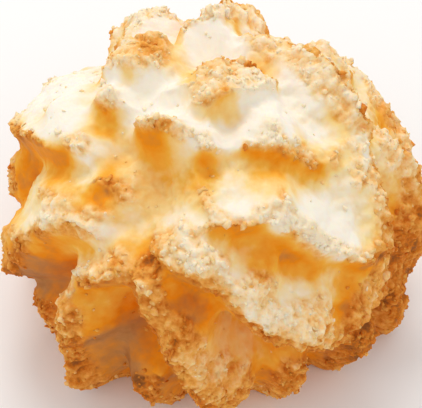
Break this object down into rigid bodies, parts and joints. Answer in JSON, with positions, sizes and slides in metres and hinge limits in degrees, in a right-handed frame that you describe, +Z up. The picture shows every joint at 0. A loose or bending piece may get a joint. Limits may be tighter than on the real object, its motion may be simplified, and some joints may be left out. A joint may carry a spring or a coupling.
{
  "type": "coconut macaroon",
  "caption": "Round baked coconut macaroon, a craggy piped mound with browned ledges, pale smooth hollows and a flat base to rest on.",
  "frame": {"origin": "centre of the box round the bun, at the level of its flat base", "axes": "+Z up from the base, -Y towards the viewer of the picture, +X to the viewer's right"},
  "size_m": [0.0548, 0.0552, 0.0397],
  "materials": {
    "coconut_crust": "matte, granular baked coconut crust, cream to golden brown"
  },
  "bodies": {
    "root": {"coconut_bun": "coconut_crust"}
  },
  "joints": []
}
